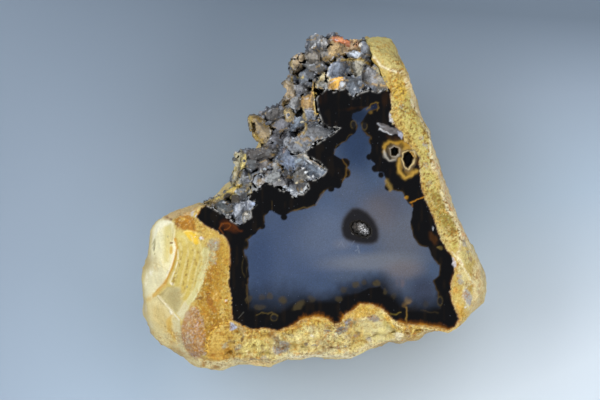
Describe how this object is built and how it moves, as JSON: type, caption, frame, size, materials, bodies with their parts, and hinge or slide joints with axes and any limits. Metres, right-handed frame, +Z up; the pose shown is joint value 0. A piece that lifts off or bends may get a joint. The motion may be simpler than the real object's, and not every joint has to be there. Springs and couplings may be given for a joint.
{
  "type": "agate nodule half",
  "caption": "Sawn and polished agate nodule half with a black-banded blue heart, yellow host rock and a crust of grey quartz blades, lying on its rough back.",
  "frame": {"origin": "on the surface the stone rests on, under the middle of its outline", "axes": "+Z up out of the polished face, +Y towards the narrow end of the face, +X to the right as the face is seen"},
  "size_m": [0.0761, 0.0748, 0.034],
  "materials": {
    "rind": "rough, weathered yellow host rock",
    "agate": "polished, glossy black and blue-grey chalcedony",
    "crystal_crust": "satin grey quartz blades, stained ochre",
    "druse": "glittering white quartz points"
  },
  "bodies": {
    "root": {"rind": "rind", "agate": "agate", "crystal_crust": "crystal_crust", "druse": "druse"}
  },
  "joints": []
}
